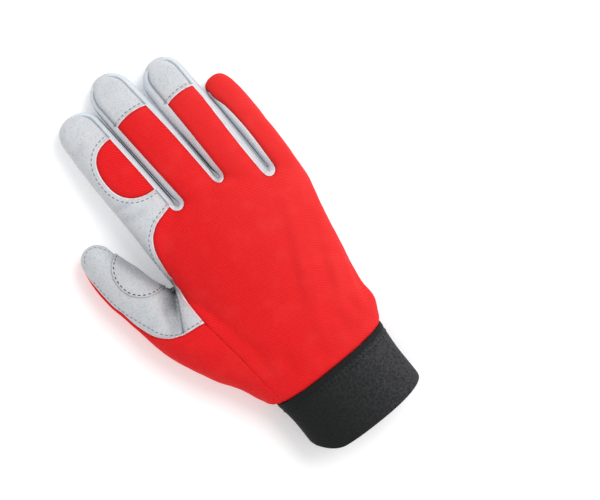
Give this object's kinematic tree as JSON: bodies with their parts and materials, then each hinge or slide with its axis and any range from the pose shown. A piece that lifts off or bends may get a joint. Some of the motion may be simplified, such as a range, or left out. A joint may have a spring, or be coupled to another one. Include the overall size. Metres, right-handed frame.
{
  "type": "mechanic glove",
  "caption": "Right-hand mechanic's glove with a red knitted back, grey leather palm and fingertips, and a black elastic cuff with a closure tab.",
  "frame": {"origin": "middle of the glove's footprint, on the surface that it lies on", "axes": "+X from the forefinger to the little finger, +Y from the wrist to the fingertips, +Z from the palm to the back of the hand"},
  "size_m": [0.1408, 0.2586, 0.04],
  "materials": {
    "knit": "fine red knit",
    "leather": "light grey brushed synthetic leather",
    "elastic": "black woven elastic",
    "moulded": "smooth black moulded face"
  },
  "bodies": {
    "root": {"back_panel": "knit", "thumb_back": "knit", "index_window": "knit", "palm_panel": "leather", "thumb_front": "leather", "thumb_patch": "leather", "middle_tip_cap": "leather", "ring_tip_cap": "leather", "fourchette_index_middle": "leather", "fourchette_middle_ring": "leather", "fourchette_ring_little": "leather", "cuff_band": "elastic", "cuff_binding": "elastic", "closure_tab": "elastic", "tab_rim": "elastic", "tab_root_strip": "elastic", "tab_panel": "moulded"}
  },
  "joints": []
}
